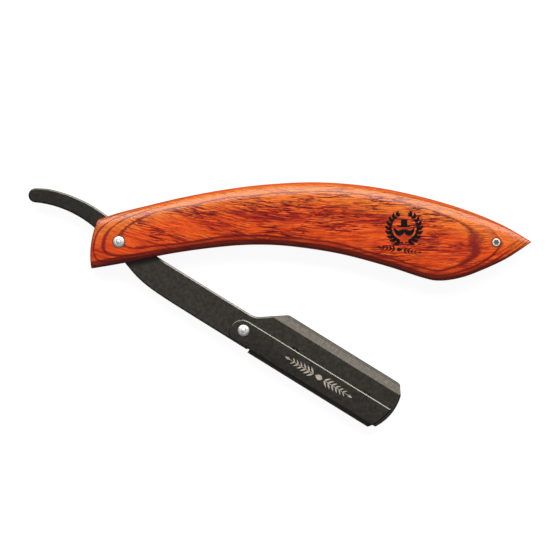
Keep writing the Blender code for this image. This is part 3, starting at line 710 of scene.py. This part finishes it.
def wooden_scale(name, side, material):
    """One wooden scale, crowned outside, with its seats. Side is 1 for the front, -1 for the rear."""
    turns = [math.pi * (RIB_TURN_START + RIB_TURN * i / RIBS) for i in range(RIBS + 1)]
    shares = [0.5 - 0.5 * math.cos(turn) for turn in turns]
    low, high = shares[0], shares[-1]
    shares = [LAST_RIB_SHARE * (s - low) / (high - low) for s in shares]
    turns = [math.pi / 2 * i / HEEL_ROUND_RIBS for i in range(1, HEEL_ROUND_RIBS + 1)]
    shares += [EDGE_ROUND / HANDLE_LENGTH * (1 - math.cos(turn)) for turn in turns]
    shares.sort()
    mesh = bmesh.new()
    loops = [[mesh.verts.new(point) for point in rib_profile(share, side)] for share in shares]
    join_loops(mesh, loops)
    mesh.faces.new(reversed(loops[0]))
    mesh.faces.new(loops[-1])
    bmesh.ops.recalc_face_normals(mesh, faces=mesh.faces)
    wood = add_piece(name + "_laminate", mesh, "handle", material)
    tools = seat_tools(PIVOT, COLLAR_HOLE, COLLAR_RADIUS + SEAT_CLEARANCE, PIVOT_SEAT, side)
    hole, seat = TIP_BARREL_RADIUS + TIP_HEAD_CLEARANCE, TIP_HEAD_RADIUS + TIP_HEAD_CLEARANCE
    tools += seat_tools(TIP_SCREW, hole, seat, TIP_HEAD_SEAT, side)
    cut_and_apply(wood, tools)
    wood.data.set_sharp_from_angle(angle=math.radians(SHARP_ANGLE))
    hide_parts(name)
    return wood


# Fasteners


def collar_piece(node, seat, side, centre, body, material):
    """A domed collar with a rounded rim, bored for its pin."""
    bore, rim = COLLAR_HOLE, COLLAR_RIM_SHARE * COLLAR_HEIGHT
    profile = [(bore, seat)] + [(COLLAR_RADIUS - inset, seat + up) for inset, up in COLLAR_FOOT]
    for i in range(13):
        angle = math.radians(90 * i / 12)
        radius = bore + (COLLAR_RADIUS - bore) * math.cos(angle)
        profile.append((radius, seat + rim + (COLLAR_HEIGHT - rim) * math.sin(angle)))
    mesh = lathed_mesh(profile, centre, side, ring=True)
    made = add_piece(node + "_dome", mesh, body, material)
    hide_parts(node)


def pin_piece(node, half, centre, body, material):
    """A pin whose peened ends stand in the middle of its collars."""
    shoulder = half - PEEN_HEIGHT
    dome = [(PIN_RADIUS, shoulder)]
    for i in range(1, 6):
        angle = math.radians(90 * i / 6)
        radius = PEEN_FLAT + (PIN_RADIUS - PEEN_FLAT) * math.cos(angle)
        dome.append((radius, shoulder + PEEN_HEIGHT * math.sin(angle)))
    profile = [(radius, -height) for radius, height in reversed(dome)] + dome
    made = add_piece(node + "_peened", lathed_mesh(profile, centre, segments=48), body, material)
    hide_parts(node)


def six_lobe_cutter():
    """The socket of the tip screw."""
    mesh = bmesh.new()
    loops = []
    for height in (TIP_HEAD_TOP - SOCKET_DEPTH, CUT_TO):
        loop = []
        for i in range(72):
            angle = 2 * math.pi * i / 72
            radius = SOCKET_RADIUS + SOCKET_LOBE * math.cos(6 * angle)
            x = TIP_SCREW.x + radius * math.cos(angle)
            loop.append(mesh.verts.new((x, TIP_SCREW.y + radius * math.sin(angle), MIDDLE + height)))
        loops.append(loop)
    join_loops(mesh, loops)
    mesh.faces.new(reversed(loops[0]))
    mesh.faces.new(loops[-1])
    return cutter(mesh)


def tip_fastener(material):
    """Screw with a six-lobe socket in front, and its barrel nut behind."""
    under_head = TIP_HEAD_SEAT + SEAT_GAP
    shoulder = (TIP_HEAD_RADIUS - TIP_HEAD_ROUND, TIP_HEAD_TOP - TIP_HEAD_ROUND)
    head = [(TIP_HEAD_RADIUS, under_head), (TIP_HEAD_RADIUS, shoulder[1])]
    head += quarter_round(shoulder, TIP_HEAD_ROUND)[1:]
    shank = [(TIP_SHANK_RADIUS, TIP_SHANK_END), (TIP_SHANK_RADIUS, under_head)]
    socketed = bright_steel("socketed_steel", socket_shade_below=MIDDLE + TIP_HEAD_TOP - SOCKET_SHADE_DEPTH)
    made = add_piece("tip_screw_socket_head", lathed_mesh(shank + head, TIP_SCREW), "handle", socketed)
    cut_and_apply(made, [six_lobe_cutter()])
    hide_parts("tip_screw")

    # The nut's rear head is the screw's head turned round. Its bore ends in a small hole behind
    rear_head = [(radius, -height) for radius, height in reversed(head)]
    outside = [(TIP_NUT_HOLE, -TIP_HEAD_TOP)] + rear_head
    outside += [(TIP_BARREL_RADIUS, -under_head), (TIP_BARREL_RADIUS, TIP_BARREL_END)]
    bore = [(TIP_BORE_RADIUS, TIP_BARREL_END - TIP_BARREL_CHAMFER), (TIP_BORE_RADIUS, TIP_BORE_END)]
    nut = lathed_mesh(outside + bore + [(TIP_NUT_HOLE, TIP_BORE_END)], TIP_SCREW, ring=True)
    bmesh.ops.recalc_face_normals(nut, faces=nut.faces)
    made = add_piece("tip_nut_barrel", nut, "handle", material)
    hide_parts("tip_barrel_nut")


# Prints


def ribbon(mesh, points, widths, place):
    """A thin closed strip along points. place gives each mark's point its place on the surface."""
    rows = []
    for i, (x, y) in enumerate(points):
        before, after = points[max(i - 1, 0)], points[min(i + 1, len(points) - 1)]
        length = math.dist(before, after)
        half = widths[i] / 2 / length
        across = ((before[1] - after[1]) * half, (after[0] - before[0]) * half)
        left, right = place(x + across[0], y + across[1]), place(x - across[0], y - across[1])
        lift = Vector((0, 0, PRINT_HEIGHT))
        rows.append([mesh.verts.new(p) for p in (left + lift, left - lift, right - lift, right + lift)])
    join_loops(mesh, rows)
    mesh.faces.new(reversed(rows[0]))
    mesh.faces.new(rows[-1])


def leaf_stroke(base, angle, length, width):
    """A pointed leaf."""
    steps = 8
    points = [(base[0] + length * i / steps * math.cos(angle), base[1] + length * i / steps * math.sin(angle))
              for i in range(steps + 1)]
    widths = [max(width * math.sin(math.pi * (i / steps) ** 0.8), 0.04) for i in range(steps + 1)]
    return points, widths


def wreath_strokes(radius):
    """Two leafy branches that rise from the bottom and leave the top open."""
    steps, leaves = 24, 9
    stem_start, stem_end = 4, 150
    first_leaf, leaf_step = 16, 16.5
    strokes = []
    for side in (1, -1):
        stem = []
        for i in range(steps + 1):
            angle = math.radians(-90 + side * (stem_start + (stem_end - stem_start) * i / steps))
            stem.append((radius * math.cos(angle), radius * math.sin(angle)))
        strokes.append((stem, [0.34 - 0.2 * i / steps for i in range(steps + 1)]))
        for i in range(leaves):
            angle = math.radians(-90 + side * (first_leaf + leaf_step * i))
            base = (radius * math.cos(angle), radius * math.sin(angle))
            along = angle + side * math.pi / 2
            size = 1.0 - 0.03 * i
            strokes.append(leaf_stroke(base, along - side * 0.62, 2.5 * size, 1.25 * size))
            strokes.append(leaf_stroke(base, along + side * 0.55, 2.1 * size, 1.05 * size))
        along = math.radians(-90 + side * stem_end) + side * math.pi / 2
        strokes.append(leaf_stroke(stem[-1], along, 1.5, 0.8))
    return strokes


def moustache_strokes(half_width):
    """A curled moustache as two mirrored strokes."""
    strokes = []
    steps = 24
    for side in (1, -1):
        points, widths = [], []
        for i in range(steps + 1):
            t = i / steps
            points.append((side * half_width * (t + 0.01), 0.5 - 1.25 * math.sin(2.6 * t) + 1.55 * t**3))
            widths.append(max(1.9 * math.sin(math.pi * (0.12 + 0.86 * t)) ** 0.9, 0.06))
        strokes.append((points, widths))
    return strokes


def top_hat_strokes(width):
    """A top hat: its crown, flared at the top, and its curled brim."""
    crown_points = [(0.0, width * (0.12 + 0.78 * i / 6)) for i in range(7)]
    crown_widths = [width * (0.92 - 0.14 * math.sin(math.pi * (0.1 + 0.7 * i / 6))) for i in range(7)]
    brim_points, brim_widths = [], []
    for i in range(17):
        across = i / 8 - 1
        brim_points.append((width * 0.95 * across, width * 0.12 * across**2))
        brim_widths.append(width * (0.24 - 0.12 * across**4))
    return [(crown_points, crown_widths), (brim_points, brim_widths)]


def moved(strokes, x, y):
    """The strokes, moved."""
    return [([(x + px, y + py) for px, py in points], widths) for points, widths in strokes]


def sprig_strokes(half_length, pairs, leaf, slim, pen):
    """A straight laurel sprig: a lozenge, and on both sides a stem with paired leaves.

    leaf is the longest leaf's length, slim a leaf's width for its length, and pen the stem's width.
    """
    strokes = [leaf_stroke((-0.55 * leaf, 0.0), 0.0, 1.1 * leaf, 0.75 * leaf)]
    start = 0.85 * leaf
    for side in (1, -1):
        outward = 0.0 if side > 0 else math.pi
        stem = [(side * (start + (half_length - start) * i / 12), 0.0) for i in range(13)]
        strokes.append((stem, [pen * (1 - 0.05 * i) for i in range(13)]))
        for i in range(pairs):
            x = start + (half_length - 1.2 * leaf - start) * i / (pairs - 1)
            size = leaf * (1 - 0.35 * i / (pairs - 1))
            for up in (1, -1):
                angle = outward + side * math.radians(44 * up)
                strokes.append(leaf_stroke((side * x, 0.0), angle, size, slim * size))
        end = (side * (half_length - 0.5 * leaf), 0.0)
        strokes.append(leaf_stroke(end, outward, 0.8 * leaf, 0.3 * leaf))
    return strokes


def print_piece(name, strokes, place, body, material):
    """A printed or etched mark made of strokes."""
    mesh = bmesh.new()
    for points, widths in strokes:
        ribbon(mesh, points, widths, place)
    bmesh.ops.recalc_face_normals(mesh, faces=mesh.faces)
    add_piece(name, mesh, body, material)


def turned(point, angle):
    """A point turned about the origin."""
    x, y = point
    return x * math.cos(angle) - y * math.sin(angle), x * math.sin(angle) + y * math.cos(angle)


def on_scale(scale, centre, tilt=0.0):
    """Places a mark's points on a scale's crowned face."""
    tree = BVHTree.FromObject(scale, bpy.context.evaluated_depsgraph_get())
    well_above = 50.0

    def place(x, y):
        at_x, at_y = turned((x, y), tilt)
        start = Vector((centre[0] + at_x, centre[1] + at_y, well_above)) * MM
        return tree.ray_cast(start, Vector((0, 0, -1)))[0] / MM

    return place


def on_cover(x, y):
    """Places a mark's points on the cover's front face. They read from the blade's end, as etched."""
    middle = turned(ETCHING_AT, ARM_ANGLE)
    at = turned((x, y), ARM_ANGLE + math.pi)
    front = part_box("swing_cover")[1][2] / MM
    return Vector((PIVOT.x + middle[0] + at[0], PIVOT.y + middle[1] + at[1], front))


# Carried-over CAD pieces


def weld_and_smooth_group():
    """A node group that welds a mesh's triangles together and smooths all but its sharp edges."""
    group = bpy.data.node_groups.new("weld_and_smooth", "GeometryNodeTree")
    group.interface.new_socket("Geometry", in_out="INPUT", socket_type="NodeSocketGeometry")
    group.interface.new_socket("Geometry", in_out="OUTPUT", socket_type="NodeSocketGeometry")
    source = group.nodes.new("NodeGroupInput")
    result = group.nodes.new("NodeGroupOutput")
    plain = group.nodes.new("GeometryNodeRemoveAttribute")
    plain.inputs["Name"].default_value = "custom_normal"
    weld = group.nodes.new("GeometryNodeMergeByDistance")
    weld.inputs["Distance"].default_value = WELD_DISTANCE
    faces = group.nodes.new("GeometryNodeSetShadeSmooth")
    faces.inputs["Shade Smooth"].default_value = True
    bend = group.nodes.new("GeometryNodeInputMeshEdgeAngle")
    flat = group.nodes.new("FunctionNodeCompare")
    flat.operation = "LESS_THAN"
    flat.inputs["B"].default_value = math.radians(SMOOTH_BELOW)
    edges = group.nodes.new("GeometryNodeSetShadeSmooth")
    edges.domain = "EDGE"
    chain = [source, plain, weld, faces, edges, result]
    for before, after in zip(chain, chain[1:]):
        group.links.new(before.outputs[0], after.inputs[0])
    group.links.new(bend.outputs["Unsigned Angle"], flat.inputs["A"])
    group.links.new(flat.outputs[0], edges.inputs["Shade Smooth"])
    return group


def finish_node(node, material, group):
    """Gives a carried-over CAD piece its finish and smooth shading."""
    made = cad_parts[node]
    made.data.materials.clear()
    made.data.materials.append(material)
    smooth = made.modifiers.new("weld_and_smooth", "NODES")
    smooth.node_group = group


# Stage, light and camera


def stage_floor():
    """A large pale light table that the razor lies on."""
    mesh = bmesh.new()
    bmesh.ops.create_grid(mesh, x_segments=1, y_segments=1, size=FLOOR_HALF)
    data = bpy.data.meshes.new("floor")
    mesh.to_mesh(data)
    mesh.free()
    floor = bpy.data.objects.new("floor", data)
    floor.location.z = -FLOOR_DROP
    paper = Finish("pale_floor", Roughness=0.9)
    paper.shader.inputs["Base Color"].default_value = colour(FLOOR_GREY, FLOOR_GREY, FLOOR_GREY)
    paper.shader.inputs["Specular IOR Level"].default_value = 0.0
    paper.shader.inputs["Emission Color"].default_value = colour(1.0, 1.0, 1.0)
    seen = paper.add("ShaderNodeLightPath").outputs["Is Camera Ray"]
    glow = paper.step(seen, 0.0, 1.0, FLOOR_GLOW, FLOOR_GLOW_SEEN)
    paper.feed(paper.shader.inputs["Emission Strength"], glow)
    data.materials.append(paper.material)
    bpy.context.scene.collection.objects.link(floor)


def softbox(name, direction, distance, size, radiance):
    """A rectangular light that faces the razor. Its radiance doesn't depend on its size or distance."""
    light = bpy.data.lights.new(name, "AREA")
    light.shape = "RECTANGLE"
    light.size, light.size_y = size
    light.energy = radiance * math.pi * size[0] * size[1]
    made = bpy.data.objects.new(name, light)
    towards = Vector(direction).normalized()
    made.location = towards * distance
    made.rotation_euler = towards.to_track_quat("Z", "Y").to_euler()
    made.visible_camera = False
    bpy.context.scene.collection.objects.link(made)


def studio_world():
    """Soft surroundings: brighter towards +Y, dim towards -Y, and plain white when looked at."""
    world = bpy.data.worlds.new("studio")
    bpy.context.scene.world = world
    world.use_nodes = True
    tree = world.node_tree
    tree.nodes.clear()
    place = tree.nodes.new("ShaderNodeTexCoord")
    split = tree.nodes.new("ShaderNodeSeparateXYZ")
    slope = tree.nodes.new("ShaderNodeMapRange")
    slope.interpolation_type = "SMOOTHSTEP"
    for socket, value in SURROUNDINGS.items():
        slope.inputs[socket].default_value = value
    around = tree.nodes.new("ShaderNodeBackground")
    behind = tree.nodes.new("ShaderNodeBackground")
    behind.inputs["Color"].default_value = colour(1.0, 1.0, 1.0)
    seen = tree.nodes.new("ShaderNodeLightPath")
    choice = tree.nodes.new("ShaderNodeMixShader")
    result = tree.nodes.new("ShaderNodeOutputWorld")
    links = tree.links
    links.new(place.outputs["Generated"], split.inputs[0])
    links.new(split.outputs["Y"], slope.inputs["Value"])
    links.new(slope.outputs["Result"], around.inputs["Strength"])
    links.new(seen.outputs["Is Camera Ray"], choice.inputs[0])
    links.new(around.outputs[0], choice.inputs[1])
    links.new(behind.outputs[0], choice.inputs[2])
    links.new(choice.outputs[0], result.inputs[0])


def camera():
    """A long lens straight above the razor, with +Y up."""
    lens = bpy.data.cameras.new("camera")
    lens.sensor_width = 36.0
    lens.lens = lens.sensor_width * CAMERA_DISTANCE / VIEW_WIDTH
    made = bpy.data.objects.new("camera", lens)
    made.location = Vector(CAMERA_AIM) * MM + Vector((0.0, 0.0, CAMERA_DISTANCE))
    bpy.context.scene.collection.objects.link(made)
    bpy.context.scene.camera = made


camera()
stage_floor()
studio_world()
softbox("key_light", direction=(0.06, 0.64, 1.0), distance=1.3, size=(1.5, 0.52), radiance=8.5)
bpy.context.scene.view_settings.view_transform = "Standard"

wood = LacqueredWood().material
dark_steel = gunmetal()
steel = bright_steel()
yellow_brass = brass()
smoothing = weld_and_smooth_group()

front = wooden_scale("front_scale", 1, wood)
wooden_scale("rear_scale", -1, wood)
for side, face in ((1, "front"), (-1, "rear")):
    collar_piece("pivot_collar_" + face, PIVOT_SEAT + SEAT_GAP, side, PIVOT, "handle", steel)
    collar_piece("neck_collar_" + face, NECK_SEAT + SEAT_GAP, side, NECK, "arm", steel)
pin_piece("pivot_pin", PIVOT_PIN_HALF, PIVOT, "handle", steel)
pin_piece("neck_pin", NECK_PIN_HALF, NECK, "arm", steel)
tip_fastener(steel)
for node in ("razor_arm", "rear_leaf", "swing_cover"):
    finish_node(node, dark_steel, smoothing)
for node in ("locating_pin_heel", "locating_pin_toe"):
    finish_node(node, steel, smoothing)
for node in ("pivot_washer_front", "pivot_washer_rear"):
    finish_node(node, yellow_brass, smoothing)
finish_node("tip_spacer", wood, smoothing)

black = ink("black_print", BLACK_PRINT, roughness=0.5)
beige = ink("etched_mark", ETCHED_MARK, roughness=0.45)
emblem = wreath_strokes(EMBLEM_RADIUS)
emblem += moved(moustache_strokes(half_width=3.5), 0.0, -1.2)
emblem += moved(top_hat_strokes(width=2.7), 0.0, 0.55)
signature = sprig_strokes(half_length=7.2, pairs=4, leaf=1.75, slim=0.3, pen=0.3)
etching = sprig_strokes(half_length=12.6, pairs=6, leaf=2.5, slim=0.24, pen=0.26)
print_piece("printed_wreath", emblem, on_scale(front, EMBLEM_AT), "handle", black)
print_piece("printed_sprig", signature, on_scale(front, SIGNATURE_AT, SIGNATURE_TILT), "handle", black)
print_piece("etched_sprig", etching, on_cover, "cover", beige)
